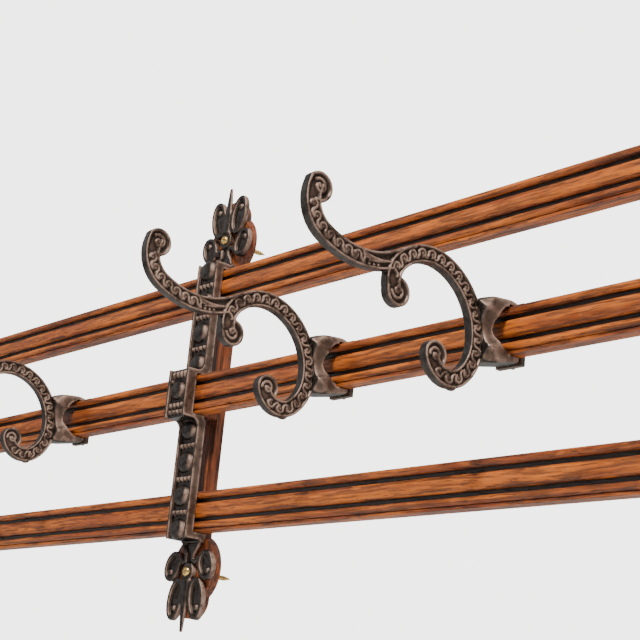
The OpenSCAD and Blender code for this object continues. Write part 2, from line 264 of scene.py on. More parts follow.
def swept_band(rows):
    section = line_curve("section", section_points(), closed=True, dimensions="2D")
    made = to_mesh(line_curve("band", [row[:2] for row in rows], dimensions="2D", fill_mode="NONE",
                              bevel_mode="OBJECT", bevel_object=section, use_fill_caps=True))
    bpy.data.objects.remove(section)
    return made


hook_parts = [swept_band(arm_line), swept_band(crook_line)]
print("bands swept", [len(p.data.vertices) for p in hook_parts])

# %% [markdown]
# Each end is a round scroll. Its rim carries on from the band's outer edge and goes about three
# quarters of the way round to a notch. Inside it a ridge winds in to a round eye. All of it is
# raised on both faces, so each ridge is laid twice.

# %% Scrolls
RIM_R = 1.1
SPIRAL_R = 1.0
# Each scroll is [centre, radius, where its rim starts, how far it winds], in millimetres and degrees
SCROLLS = [((-157, 46.5), 9.5, 150, -258), ((-89.5, 1.5), 9.5, 165, 275), ((-54.5, -29), 9.2, 205, -245)]


def both_faces(points, radius, height):
    """The same bar on each face, this far from the band's middle."""
    return [tube([(a, b, face * height) for a, b in points], radius) for face in (-1, 1)]


def bosses(a, b, height, radii):
    """The same small boss on each face."""
    return [ball((a, b, face * height), radii) for face in (-1, 1)]


def around(centre, start, turn, from_r, to_r):
    """Points round a centre whose distance from it changes evenly."""
    steps = 60
    made = []
    for i in range(steps + 1):
        angle = math.radians(start + turn * i / steps)
        r = from_r + (to_r - from_r) * i / steps
        made.append((centre[0] + r * math.cos(angle), centre[1] + r * math.sin(angle)))
    return made


def rim_along(path):
    """A rim on both faces along a flat path, with the edge between them filled."""
    return (both_faces(path, RIM_R, HALF_THICK - RIM_R)
            + [tube([(a, b, c) for a, b in path], RIM_R) for c in (-1.2, 0, 1.2)])


def scroll(centre, radius, start, sweep):
    """start is where the rim leaves the band; a positive sweep winds anticlockwise. In degrees."""
    parts = [drum((centre[0], centre[1], 0), radius - 0.3, FLOOR)]
    parts += rim_along(around(centre, start, sweep, radius - RIM_R, radius - RIM_R))
    hand = math.copysign(1, sweep)
    ridge = around(centre, start + hand * 15, hand * 400, radius * 0.53, radius * 0.14)
    parts += both_faces(ridge, SPIRAL_R, HALF_THICK - 1.2)
    parts += bosses(*centre, 2.0, (1.6, 1.6, 1.3))
    return parts


for centre, radius, start, sweep in SCROLLS:
    hook_parts += scroll(centre, radius, start, sweep)
print("scrolls", len(hook_parts), "parts so far")

# %% [markdown]
# The channel is filled with a running wave: one raised line that swings up out of the channel's
# low side, over a crest, and curls in on itself. One wave is worked out on a straight line, and
# laid again and again along the band. Under each crest a small boss fills the curl.

# %% Running wave
WAVE_PITCH = 8.6
WAVE_R = 0.85
WAVE_TOP = FLOOR + 0.45
ARM_WAVES = (25, 77)      # where the waves start and end along each band
CROOK_WAVES = (13, 174)


def wave_unit():
    """One wave as [along, across] from the middle of its crest."""
    tail = [(-6.6, -2.3), (-5.4, -2.7), (-4.3, -2.3), (-3.5, -1.3)]
    crest = []
    for i in range(25):
        share = i / 24
        angle = math.radians(190 - 285 * share)
        r = 2.95 - 1.0 * share
        crest.append((r * math.cos(angle), 0.1 + r * math.sin(angle)))
    return tail + crest


def waves(rows, first, last, side):
    """Waves between two places on a line; side is 1 for crests to its left, -1 to its right."""
    parts = []
    count = int((last - first) / WAVE_PITCH)
    for i in range(count + 1):
        middle = first + (i + 0.5) * (last - first) / (count + 1)
        path = [on_line(rows, middle + u, side * v) for u, v in wave_unit()]
        parts += both_faces(path, WAVE_R, WAVE_TOP)
        a, b = on_line(rows, middle + 0.2, side * 0.2)
        parts += bosses(a, b, FLOOR, (1.7, 1.7, 1.0))
    return parts


arm_waves = waves(arm_line, *ARM_WAVES, -1)
crook_waves = waves(crook_line, *CROOK_WAVES, 1)
hook_parts += arm_waves + crook_waves
print("waves", len(arm_waves) + len(crook_waves), "parts")

# %% [markdown]
# Where the arm meets the crook there is a small feather: a fan of fine barbs that spread from the
# crook, a thin spine at the far end and three beads. The barbs lie so close that the fusing step
# runs them together. The crook's underside has one nib, as a casting's broken gate leaves.

# %% Feather and nib
FEATHER_ROOT = (-97.5, 17.8)
FEATHER_REACH = 24
BARBS = 4
SPINE_AT = 24.5           # where the spine crosses the arm, along its line
BEADS_AT = 19
NIB = (-38, -45.4, 0)


def feather():
    parts = []
    for i in range(BARBS):
        angle = math.radians(178 + 5 * i)
        reach = FEATHER_REACH - 2.0 * i
        sag = 1.6 - 0.35 * i
        path = []
        for step in range(9):
            t = step / 8
            path.append((FEATHER_ROOT[0] + t * reach * math.cos(angle),
                         FEATHER_ROOT[1] + t * reach * math.sin(angle) - sag * math.sin(math.pi * t)))
        parts += both_faces(path, 0.55, FLOOR + 0.75)
    spine = []
    for step in range(9):
        bow = 1.5 * math.sin(math.pi * step / 8)
        spine.append(on_line(arm_line, SPINE_AT - bow, 3.4 - 6.8 * step / 8))
    parts += both_faces(spine, 0.6, FLOOR + 0.6)
    for i in range(3):
        a, b = on_line(arm_line, BEADS_AT - 3.4 * i, 2.9)
        parts += bosses(a, b, FLOOR, (0.95, 0.95, 1.1))
    return parts


hook_parts += feather()
hook_parts.append(ball(NIB, (4.2, 2.4, 2.8)))
print("feather and nib", len(hook_parts), "parts so far")

# %% [markdown]
# The arm's top edge runs on into the crook's back in one sweep. A flat web fills the notch between
# the two bands there, and a rim along its top joins the two rims.

# %% Web between arm and crook
WEB_EDGE = [(-103, 23.2), (-98, 24.9), (-93, 27.2), (-88, 30.0), (-83, 32.6), (-78, 34.6)]


def below(edge, drop):
    """The edge, moved square to its own slope and down."""
    return [(a + 0.45 * drop, b - 0.9 * drop) for a, b in edge]


hook_parts.append(drum((-90, 22.5, 0), 4.6, FLOOR))
hook_parts += rim_along(below(WEB_EDGE, RIM_R))
for drop in (2.6, 4.2):
    hook_parts += both_faces(below(WEB_EDGE[1:-1], drop), 1.3, 0.8)
print("web", len(hook_parts), "parts so far")

# %% [markdown]
# The saddle joins the crook to the middle rail. From the side it is an outline with a claw over
# the rail's top edge, a hollow in front of the rail and a claw under it. That outline is drawn flat
# and given its thickness. Ellipsoids then scoop each cheek, so that the neck is thin and the claws
# flare, and two more swell the claws. The crook's own line trims the front, so that the saddle stays
# clear of the waves. Last, a second outline takes out the rail and the hollow.

# %% The saddle
CLAW_HALF_WIDTH = 11
RAIL_HALF = 16.3
RAIL_THICK = 12.5
HOLLOW = (7, 17)          # the hollow's arc: its centre behind the rail's face, and its radius
HOLLOW_HALF = 14
SLIDE_GAP = 0.3
NECK_LAP = 2.4            # how far the neck laps over the crook's edge
MIDDLE_RAIL_FRONT = -34
SADDLE_OUTLINE = [(-25, -20), (-25, 10), (-23.5, 14), (-19, 17.2), (-12, 19), (-5, 19.6), (0.4, 20.4),
                  (1.3, 18.6), (2.2, 20.7), (12.8, 18.4), (12.8, 8), (6, 0), (12.8, -8),
                  (12.8, -19.6), (7, -20.8), (0, -22.4), (-7, -24), (-13, -24), (-18, -22.5)]
# Each scoop is [distance, height, how far from the middle, radii]
SCOOPS = [(-24, -3.0, 14.2, (21, 13.5, 11.3)), (-25, -27, 13, (17, 17, 9)), (-30, 22, 13, (17, 15, 9))]


def plate(points, low, high, soften=0.0):
    """A flat outline in millimetres, with its thickness from low to high and its edges rounded."""
    made = to_mesh(line_curve("plate", points, closed=True, dimensions="2D", fill_mode="BOTH",
                              extrude=((high - low) / 2 - soften) * MM, bevel_depth=soften * MM,
                              bevel_resolution=2, offset=-soften * MM))
    made.location = (0, 0, (low + high) / 2 * MM)
    return settle(made)


def hollow_outline():
    """The rail and the hollow in front of it, as one outline."""
    centre, radius = HOLLOW
    arc = []
    for i in range(25):
        b = HOLLOW_HALF * (1 - i / 12)
        arc.append((centre - math.sqrt(radius ** 2 - b ** 2), b))
    lip = HOLLOW_HALF + 0.6
    return ([(30, -RAIL_HALF), (30, RAIL_HALF), (-SLIDE_GAP, RAIL_HALF), (-SLIDE_GAP, lip)] + arc
            + [(-SLIDE_GAP, -lip), (-SLIDE_GAP, -RAIL_HALF)])


def saddle():
    body = plate(SADDLE_OUTLINE, -CLAW_HALF_WIDTH, CLAW_HALF_WIDTH, soften=1.6)
    for side in (-1, 1):
        for a, b, c, radii in SCOOPS:
            cut(body, ball((a, b, side * c), radii))
    lobe = ball((-9.5, 12.2, 0), (12.5, 6.8, 9.4))
    claw = ball((-4, -14.5, 0), (7, 6.4, 10.4))
    whole = join("saddle", [body, lobe, claw])
    back = [on_line(crook_line, along, HALF_BAND - NECK_LAP) for along in range(70, 170, 4)]
    cut(whole, plate(back + [(-60, -30), (-60, 20)], -20, 20))
    fuse(whole, 0.8, soften=45)
    cut(whole, plate(hollow_outline(), -20, 20))
    return whole


hook_parts.append(saddle())
print("saddle", len(hook_parts[-1].data.polygons), "faces")

# %% [markdown]
# All the pieces of a hook are joined and fused into one skin, as the casting is. It is then turned
# from its own plane to its place on the rail. Each vertex also gets a relief value: how far it
# stands out from a blurred copy of the surface. High values are worn ridges and low ones are dirty
# hollows. A second value, cheek, is high where the surface faces along the rail. The iron's colours
# use both later.

# %% Hook casting


def vertex_rows(mesh, what):
    """One row of three numbers for each vertex."""
    rows = np.empty(len(mesh.vertices) * 3)
    mesh.vertices.foreach_get(what, rows)
    return rows.reshape(-1, 3)


def store(mesh, name, values):
    mesh.attributes.new(name, "FLOAT", "POINT").data.foreach_set("value", values)


def mark_relief(obj, rounds, reach):
    """Stores relief, from 0 in a hollow to 1 on a ridge, and cheek; reach is in millimetres."""
    mesh = obj.data
    count = len(mesh.vertices)
    spots = vertex_rows(mesh, "co")
    facing = vertex_rows(mesh, "normal")
    ends = np.empty(len(mesh.edges) * 2, dtype=int)
    mesh.edges.foreach_get("vertices", ends)
    one, two = ends[0::2], ends[1::2]
    near = np.maximum(np.bincount(ends, minlength=count), 1)
    blurred = spots.copy()
    for _ in range(rounds):
        total = np.empty_like(blurred)
        for axis in range(3):
            total[:, axis] = (np.bincount(one, weights=blurred[two, axis], minlength=count)
                              + np.bincount(two, weights=blurred[one, axis], minlength=count))
        blurred = total / near[:, None]
    proud = ((spots - blurred) * facing).sum(axis=1) / (reach * MM)
    store(mesh, "relief", np.clip(0.5 + 0.5 * proud, 0, 1))
    store(mesh, "cheek", np.clip(np.abs(facing[:, 0]) * 2.4 - 0.9, 0, 1))
    print(obj.name, "relief from", round(float(proud.min()), 2), "to", round(float(proud.max()), 2))


def stand_up(obj, x, front):
    """Turns what lies in the hook's own plane to its place: distance, height and thickness."""
    obj.data.transform(Matrix(((0, 0, 1, x * MM), (1, 0, 0, front * MM), (0, 1, 0, 0), (0, 0, 0, 1))))
    return obj


HOOK_X = (-606, -434, -81, 81, 434, 606)
casting = fuse(join("hook_casting", hook_parts), 0.48, soften=1)
stand_up(casting, 0, MIDDLE_RAIL_FRONT)
mark_relief(casting, 14, 0.35)
hooks = []
for number, x in enumerate(HOOK_X, start=1):
    hook = twin(casting, f"hook_casting_{number}", Matrix.Translation((x * MM, 0, 0)))
    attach(hook, f"sliding_hook_{number}")
    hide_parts(f"hook_{number}")
    hooks.append(hook)
bpy.data.objects.remove(casting)
print("hooks", [h.name for h in hooks])

# %% [markdown]
# A bracket's strap has a rim along each side and a sunk floor with domes and rows of beads. The
# strap is drawn from the side, once at full depth for each rim, and once set back for the floor.
# Domes and beads are set into the floor, so the fusing step gives each a soft foot.

# %% Bracket strap
BRACKETS = {"left": -255, "right": 255}
STRAP_HALF = 13
RIM_W = 2.0
SUNK = 2.8                # how far the floor lies behind the rims
STRAP_FRONT = -28.5
OUTER_RAIL_FRONT = -20.5
BATTEN_FRONT = -8
BOX_FRONT = -44
BOX_BACK = -22.5
BOX_HALF = 20
RACK_TOP = 109.3
SHELF_TOP = 114.8
COVE = 6
DOME_PITCH = 27
DOME = (9.4, 5.6, 8.4)
BOX_DOME = (8.8, 5.4, 7.8)


def cove_points(side, front, strap_front):
    """From the strap's front, along the cove, out to the box's front; side is 1 above, -1 below."""
    made = []
    for i in range(9):
        angle = math.radians(90 * i / 8)
        made.append((strap_front - COVE * (1 - math.cos(angle)),
                     side * (BOX_HALF + COVE * (1 - math.sin(angle)))))
    return made + [(front, side * BOX_HALF)]


def strap_outline(sunk):
    """The strap from the side as [forwards, up], with its front set back by sunk."""
    front = STRAP_FRONT + sunk
    box = BOX_FRONT + sunk
    upper = cove_points(1, box, front)
    lower = cove_points(-1, box, front)
    top = [(BATTEN_FRONT, SHELF_TOP), (front, SHELF_TOP)]
    bottom = [(front, -SHELF_TOP), (BATTEN_FRONT, -SHELF_TOP)]
    inner = MIDDLE_RAIL_FRONT - SLIDE_GAP
    back = [(BATTEN_FRONT, -RACK_TOP), (OUTER_RAIL_FRONT, -RACK_TOP), (OUTER_RAIL_FRONT, -BOX_HALF),
            (BOX_BACK, -BOX_HALF), (BOX_BACK, -RAIL_HALF), (inner, -RAIL_HALF), (inner, RAIL_HALF),
            (BOX_BACK, RAIL_HALF), (BOX_BACK, BOX_HALF), (OUTER_RAIL_FRONT, BOX_HALF),
            (OUTER_RAIL_FRONT, RACK_TOP), (BATTEN_FRONT, RACK_TOP)]
    return top + upper + lower[::-1] + bottom + back


def strap_slice(sunk, low, high):
    """The strap's outline, given its width and stood across the rails."""
    return stand_up(plate(strap_outline(sunk), low, high), 0, 0)


def bead_row(z, front, tall=2.4):
    """Four beads side by side."""
    return [ball((4.9 * (i - 1.5), front + SUNK - 0.4, z), (1.85, 3.2, tall)) for i in range(4)]


strap_parts = [strap_slice(SUNK, -STRAP_HALF + 1, STRAP_HALF - 1)]
for side in (-1, 1):
    low, high = sorted((side * STRAP_HALF, side * (STRAP_HALF - RIM_W)))
    strap_parts.append(strap_slice(0, low, high))
for side in (-1, 1):
    for k in range(1, 5):
        strap_parts.append(ball((0, STRAP_FRONT + SUNK, side * k * DOME_PITCH), DOME))
        if k > 1:
            strap_parts += bead_row(side * (k - 0.5) * DOME_PITCH, STRAP_FRONT)
strap_parts += bead_row(15, BOX_FRONT, tall=3.4) + bead_row(-10.5, BOX_FRONT)
strap_parts += bead_row(-16, BOX_FRONT, tall=2.0)
strap_parts.append(ball((0, BOX_FRONT + SUNK, 2), BOX_DOME))
strap_parts += [ball((side * 8.8, BOX_FRONT + SUNK, 9.5), (1.8, 3.2, 1.8)) for side in (-1, 1)]
print("strap", len(strap_parts), "parts")

# %% [markdown]
# The leaf end is a cluster of scooped leaves. Each one is a shallow dish: an oval rim, a thin
# floor behind it, a pearl near its tip and a vein. A tapered spike stands in the middle, and a stem
# with two curled points comes up from the strap. It is made once and turned over for the lower end.

# %% Leaf end
SCREW_Z = 139
SCREW_HOLE_R = 2.15
TIP_Z = 186
SPIKE_Y = -12.4
# A leaf is [distance from the centre line, height, lean in degrees, half width, half height]
UPPER_LEAF = (13.6, 160, 10, 9.8, 17)
LOWER_LEAF = (22, 134, 26, 9.6, 12.5)


def oval(centre, lean, half_w, half_h, y):
    """Points round an oval that leans outwards by lean degrees."""
    tilt = math.radians(lean)
    steps = 40
    made = []
    for i in range(steps + 1):
        angle = 2 * math.pi * i / steps
        u = half_w * math.cos(angle)
        v = half_h * math.sin(angle)
        made.append((centre[0] + u * math.cos(tilt) + v * math.sin(tilt), y,
                     centre[1] - u * math.sin(tilt) + v * math.cos(tilt)))
    return made


def leaf(side, spec):
    x, z, lean, half_w, half_h = spec
    centre = (side * x, z)
    tilt = math.radians(side * lean)

    def on_axis(up, y):
        return centre[0] + up * math.sin(tilt), y, centre[1] + up * math.cos(tilt)

    floor = ball((0, 0, 0), (half_w, 1.5, half_h))
    floor.data.transform(Matrix.Translation((centre[0] * MM, -9.6 * MM, centre[1] * MM))
                         @ Matrix.Rotation(tilt, 4, "Y"))
    rim = tube(oval(centre, side * lean, half_w - 1.7, half_h - 1.7, -11.7), 1.8)
    wall = tube(oval(centre, side * lean, half_w - 1.5, half_h - 1.5, -9.8), 1.6)
    pearl = ball(on_axis(0.42 * half_h, -11.2), (2.7, 2.3, 2.7))
    vein = tube([on_axis(share * half_h, -10.6) for share in (-0.75, -0.35, 0)], 1.2)
    return [floor, rim, wall, pearl, vein]


def spike(base_z, tip_z):
    """A taper, a little flattened from front to back."""
    obj = cone((0, 0, (base_z + tip_z) / 2), 5.8, 1.7, tip_z - base_z)
    obj.scale = (1, 0.55, 1)
    settle(obj)
    obj.data.transform(Matrix.Translation((0, SPIKE_Y * MM, 0)))
    return obj


def leaf_end():
    parts = []
    for side in (-1, 1):
        parts += leaf(side, UPPER_LEAF) + leaf(side, LOWER_LEAF)
        curl = [(side * 11, -11.2, 113), (side * 8.6, -11.6, 119), (side * 4.6, -11.8, 125),
                (side * 4.4, -11.8, 130), (side * 8, -11.6, 131.5), (side * 12.5, -11.2, 127.5)]
        parts.append(tube(curl, 1.9))
    parts.append(spike(SCREW_Z + 6, TIP_Z))
    parts.append(drum((0, -10.75, SCREW_Z), 7.2, 2.6, axis="Y"))
    parts.append(block((-6, -10.8, 111), (6, -8.2, SCREW_Z)))
    parts.append(block((-STRAP_HALF, -12.6, 109.8), (STRAP_HALF, -8.2, 116.5)))
    return parts


upper_end = join("leaf_end", leaf_end())
lower_end = twin(upper_end, "lower_end", Matrix.Rotation(math.pi, 4, "Y"))
bracket = fuse(join("bracket_casting", strap_parts + [upper_end, lower_end]), 0.72, soften=1)
for z in (-SCREW_Z, SCREW_Z):
    cut(bracket, drum((0, -12, z), SCREW_HOLE_R, 8, axis="Y"))
mark_relief(bracket, 12, 0.45)
for side, x in BRACKETS.items():
    made = twin(bracket, f"{side}_bracket_casting", Matrix.Translation((x * MM, 0, 0)))
    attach(made, "rack")
    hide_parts(f"{side}_bracket")
bpy.data.objects.remove(bracket)
print("brackets placed")

# %% [markdown]
# The rails are one moulded section: two narrow reeds, a broad one between them, and grooves.
# The section is drawn flat and drawn out to the rail's length. Each
# vertex keeps how deep it lies below the reeds, which tells the finish where the grooves get painted
# shade.

# %% Rails
RAIL_LENGTH = 1380
RAIL_PITCH = 93
RAIL_EDGE = 16
REED_DEPTH = 4.0
PLAIN_EDGE = 13.8         # beyond this distance from a rail's middle its edge is plain
RAILS = [("top_rail", OUTER_RAIL_FRONT, RAIL_PITCH), ("middle_rail", MIDDLE_RAIL_FRONT, 0),
         ("bottom_rail", OUTER_RAIL_FRONT, -RAIL_PITCH)]


def reed(low, high, proud, steps=10):
    """Points over one rounded reed, from its lower side to its upper side."""
    made = []
    middle = (low + high) / 2
    half = (high - low) / 2
    for i in range(steps + 1):
        angle = math.pi * i / steps
        swell = math.sin(angle) ** 0.6
        made.append((REED_DEPTH - proud * swell, middle - half * math.cos(angle)))
    return made


def rail_outline():
    front = [(2.2, -15.9), (1.9, -13.9)]
    front += reed(-13.5, -8, 3.9) + reed(-5, 7, 3.95, 18) + reed(10, 15.9, 3.9)
    return [(RAIL_THICK, RAIL_EDGE - 0.1), (RAIL_THICK, -RAIL_EDGE + 0.1)] + front


def mark_depth(obj, front, centre_z):
    """Stores depth below the reeds, from 0 to 1; the plain edges and the back get 0.3, so neither
    painted groove shade nor a lighter crown.
    """
    spots = vertex_rows(obj.data, "co") / MM
    behind = spots[:, 1] - front
    moulded = (behind < REED_DEPTH + 0.5) & (np.abs(spots[:, 2] - centre_z) < PLAIN_EDGE)
    store(obj.data, "depth", np.where(moulded, np.clip(behind / REED_DEPTH, 0, 1), 0.3))


for name, front, z in RAILS:
    made = plate(rail_outline(), -RAIL_LENGTH / 2, RAIL_LENGTH / 2)
    stand_up(made, 0, front)
    made.data.transform(Matrix.Translation((0, 0, z * MM)))
    made.name = f"{name}_reeded"
    made.data.name = made.name
    only(made)
    bpy.ops.object.shade_smooth_by_angle(angle=math.radians(28))
    mark_depth(made, front, z)
    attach(made, "rack")
    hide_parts(name)
    print(made.name, len(made.data.polygons), "faces")

# %% [markdown]
# A screw is a shank, a head with its slot, and a thread wound round it as a helix. There are three
# kinds of head and four sizes, so one function makes them all, pointing along +Y from its head. The
# wall screws keep that way, and the others are turned to point forwards from behind the rails.

# %% Screws
SLOT_W = 1.0
HEAD_Y = -13.5            # the leaf ends' face, under the wall screws' heads
WOOD_SCREW_Z = 8          # how far a wood screw sits from its rail's middle
KEEPER_SCREW_Z = 18.55
KEEPER_BACK = MIDDLE_RAIL_FRONT + 16.8


def helix(radius, start, end, pitch):
    """Points along a thread, which fades out over the point."""
    turns = (end - start) / pitch
    steps = int(turns * 14)
    made = []
    for i in range(steps + 1):
        t = i / steps
        angle = 2 * math.pi * turns * t
        fade = min(1, (1 - t) * 5 + 0.15)
        made.append((radius * fade * math.cos(angle), start + (end - start) * t,
                     radius * fade * math.sin(angle)))
    return made


def screw(name, head_r, head_h, kind, shank_r, crest_r, plain, length, pitch):
    """Made at the origin, with the underside or face of its head there, pointing along +Y."""
    if kind == "round":
        head = ball((0, 0, 0), (head_r, head_h, head_r))
        cut(head, block((-6, 0, -6), (6, 6, 6)))
        slot_low, slot_high = -head_h - 1, -head_h + 1.1
    elif kind == "pan":
        head = drum((0, -head_h / 2, 0), head_r, head_h / 2, axis="Y")
        finish_with(head, "BEVEL", width=0.5 * MM, segments=3)
        slot_low, slot_high = -head_h - 1, -head_h + 0.8
    else:
        head = cone((0, head_h / 2, 0), head_r, shank_r, head_h, axis="Y", sides=48)
        slot_low, slot_high = -1, 0.9
    cut(head, block((-6, slot_low, -SLOT_W / 2), (6, slot_high, SLOT_W / 2)))
    root_r = crest_r - 0.45
    point = 3 * crest_r
    shank = drum((0, plain / 2, 0), shank_r, plain / 2, axis="Y", sides=32)
    core = drum((0, (plain + length - point) / 2, 0), root_r, (length - point - plain) / 2, axis="Y",
                sides=32)
    tip = cone((0, length - point / 2, 0), root_r, 0.3, point, axis="Y")
    thread = tube(helix(root_r, plain, length - 1, pitch), 0.42)
    whole = join(name, [head, shank, core, tip, thread])
    only(whole)
    bpy.ops.object.shade_smooth_by_angle(angle=math.radians(35))
    return whole


def place_screws(pattern, name, node, body, spots, backwards=False):
    """Copies one screw to each [x, y, z] and joins the copies into one piece."""
    turn = Matrix.Rotation(math.pi, 4, "Z") if backwards else Matrix.Identity(4)
    whole = join(name, [twin(pattern, name, Matrix.Translation(Vector(spot) * MM) @ turn)
                        for spot in spots])
    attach(whole, body)
    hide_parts(node)
    print(whole.name, len(spots), "screws")


wall_pattern = screw("wall_screw", head_r=4, head_h=2.8, kind="round", shank_r=1.6, crest_r=2.1,
                     plain=13.5, length=43.5, pitch=1.9)
rail_pattern = screw("rail_screw", head_r=3.5, head_h=1.75, kind="countersunk", shank_r=1.75,
                     crest_r=1.7, plain=6, length=15, pitch=1.4)
block_pattern = screw("block_screw", head_r=3.5, head_h=1.75, kind="countersunk", shank_r=1.75,
                      crest_r=1.7, plain=16, length=28.5, pitch=1.4)
keeper_pattern = screw("keeper_screw", head_r=2.5, head_h=1.6, kind="pan", shank_r=1.25,
                       crest_r=1.2, plain=4, length=11, pitch=0.8)
pairs = [(x, dz) for x in BRACKETS.values() for dz in (-WOOD_SCREW_Z, WOOD_SCREW_Z)]
place_screws(wall_pattern, "wall_screws_brass", "wall_screws", "rack",
             [(x, HEAD_Y, z) for x in BRACKETS.values() for z in (-SCREW_Z, SCREW_Z)])
place_screws(rail_pattern, "rail_screws_steel", "rail_screws", "rack",
             [(x, 0, z + dz) for x, dz in pairs for z in (-RAIL_PITCH, RAIL_PITCH)], backwards=True)
place_screws(block_pattern, "block_screws_steel", "block_screws", "rack",
             [(x, 0, dz) for x, dz in pairs], backwards=True)
for number, x in enumerate(HOOK_X, start=1):
    place_screws(keeper_pattern, f"keeper_screws_{number}_steel", f"keeper_screws_{number}",
                 f"sliding_hook_{number}",
                 [(x, KEEPER_BACK, z) for z in (-KEEPER_SCREW_Z, KEEPER_SCREW_Z)], backwards=True)
for pattern in (wall_pattern, rail_pattern, block_pattern, keeper_pattern):
    bpy.data.objects.remove(pattern)

# %% [markdown]
# Battens, packing blocks and keepers already have the right shape, so they stay as they are. A weld
# joins their loose triangles, and a small bevel takes the sharpness off their edges.

# %% Eased pieces


def ease(name, width):
    node = frame["nodes"][name]
    weld = node.modifiers.new("Weld", "WELD")
    weld.merge_threshold = 0.00001
    bevel = node.modifiers.new("Bevel", "BEVEL")
    bevel.width = width * MM
    bevel.segments = 2
    bevel.limit_method = "ANGLE"
    bevel.angle_limit = math.radians(50)
    return node


battens = [ease(n, 0.6) for n in ("left_batten", "right_batten")]
blocks = [ease(n, 0.5) for n in ("left_packing_block", "right_packing_block")]
keepers = [ease(f"keeper_{n}", 0.5) for n in range(1, 7)]
print("eased", len(battens) + len(blocks) + len(keepers))

# %% [markdown]
# Finishes next. A short function adds a shader node and fills its sockets, either with a value or
# with a link from another node. The shared effects are node groups: wood grain, cast skin and dust.

# %% Node helpers


def add(tree, kind, sockets=None, **settings):
    """A new node; a socket's value may be a number, a colour or another node's output."""
    made = tree.nodes.new("ShaderNode" + kind)
    for key, value in settings.items():
        setattr(made, key, value)
    for key, value in (sockets or {}).items():
        if isinstance(value, bpy.types.NodeSocket):
            tree.links.new(value, made.inputs[key])
        else:
            made.inputs[key].default_value = value
    return made


def use_group(tree, group_tree, sockets):
    return add(tree, "Group", sockets, node_tree=group_tree)


def mix(tree, share, first, second):
    """A colour between two; share is 0 for the first and 1 for the second."""
    return add(tree, "Mix", {0: share, 6: first, 7: second}, data_type="RGBA").outputs[2]


def ramp(tree, value, low, high, out_low=0.0, out_high=1.0):
    """A smooth step from out_low to out_high as the value goes from low to high."""
    made = add(tree, "MapRange", {"Value": value, "From Min": low, "From Max": high,
                                  "To Min": out_low, "To Max": out_high},
               interpolation_type="SMOOTHSTEP")
    return made.outputs["Result"]


def noise(tree, vector, scale, detail=4.0, roughness=0.55):
    made = add(tree, "TexNoise", {"Vector": vector, "Scale": scale, "Detail": detail,
                                  "Roughness": roughness})
    return made.outputs["Fac"]


def math_node(tree, operation, first, second):
    return add(tree, "Math", {0: first, 1: second}, operation=operation).outputs[0]


def group(name, inputs, outputs):
    """A new node group; inputs and outputs are [name, socket type]."""
    tree = bpy.data.node_groups.new(name, "ShaderNodeTree")
    for label, kind in inputs:
        tree.interface.new_socket(name=label, in_out="INPUT", socket_type=kind)
    for label, kind in outputs:
        tree.interface.new_socket(name=label, in_out="OUTPUT", socket_type=kind)
    return tree, tree.nodes.new("NodeGroupInput"), tree.nodes.new("NodeGroupOutput")


VECTOR, NUMBER, COLOUR = "NodeSocketVector", "NodeSocketFloat", "NodeSocketColor"

# %% [markdown]
# Oak has four scales of pattern: broad bands of light and dark, fine streaks, pale flecks, and open
# pores that hold dark stain. All run along the grain, so the same noise is stretched along X by
# different amounts. The group expects a vector whose X runs with the grain, in metres.

# %% Wood grain
grain_tree, grain_in, grain_out = group(
    "Wood grain", [("Vector", VECTOR), ("Light", COLOUR), ("Mid", COLOUR), ("Dark", COLOUR)],
    [("Color", COLOUR), ("Pores", NUMBER), ("Height", NUMBER)])


def stretched(tree, vector, along, across):
    return add(tree, "Mapping", {"Vector": vector, "Scale": (along, across, across)}).outputs[0]


source = grain_in.outputs["Vector"]
wobble = add(grain_tree, "TexNoise", {"Vector": source, "Scale": 18.0, "Detail": 2.0})
bent = add(grain_tree, "VectorMath", {0: wobble.outputs["Color"], 1: (0.004, 0.004, 0.004)},
           operation="MULTIPLY")
path = add(grain_tree, "VectorMath", {0: source, 1: bent.outputs[0]}, operation="ADD").outputs[0]
bands = noise(grain_tree, stretched(grain_tree, path, 9, 120), 1.0, 3.0)
streaks = noise(grain_tree, stretched(grain_tree, path, 24, 430), 1.0, 5.0, 0.62)
pores = noise(grain_tree, stretched(grain_tree, path, 90, 1500), 1.0, 2.0)
flecks = noise(grain_tree, stretched(grain_tree, path, 45, 330), 1.0, 2.0)
band_mask = ramp(grain_tree, bands, 0.36, 0.66)
streak_mask = ramp(grain_tree, streaks, 0.42, 0.60)
pore_mask = ramp(grain_tree, pores, 0.60, 0.70)
fleck_mask = ramp(grain_tree, flecks, 0.58, 0.70)
base = mix(grain_tree, band_mask, grain_in.outputs["Mid"], grain_in.outputs["Light"])
streaked = mix(grain_tree, math_node(grain_tree, "MULTIPLY", streak_mask, 0.80), base,
               grain_in.outputs["Dark"])
flecked = mix(grain_tree, math_node(grain_tree, "MULTIPLY", fleck_mask, 0.55), streaked,
              grain_in.outputs["Light"])
pored = mix(grain_tree, math_node(grain_tree, "MULTIPLY", pore_mask, 0.9), flecked,
            grain_in.outputs["Dark"])
relief_height = math_node(grain_tree, "SUBTRACT", math_node(grain_tree, "MULTIPLY", streaks, 0.5),
                          pore_mask)
grain_tree.links.new(pored, grain_out.inputs["Color"])
grain_tree.links.new(pore_mask, grain_out.inputs["Pores"])
grain_tree.links.new(relief_height, grain_out.inputs["Height"])
print("wood grain group", len(grain_tree.nodes), "nodes")

# %% [markdown]
# Cast iron keeps the fine skin of the sand it was poured in, with a few pits. Dust is a mask of
# soft patches, stronger where the caller says the surface stands out.

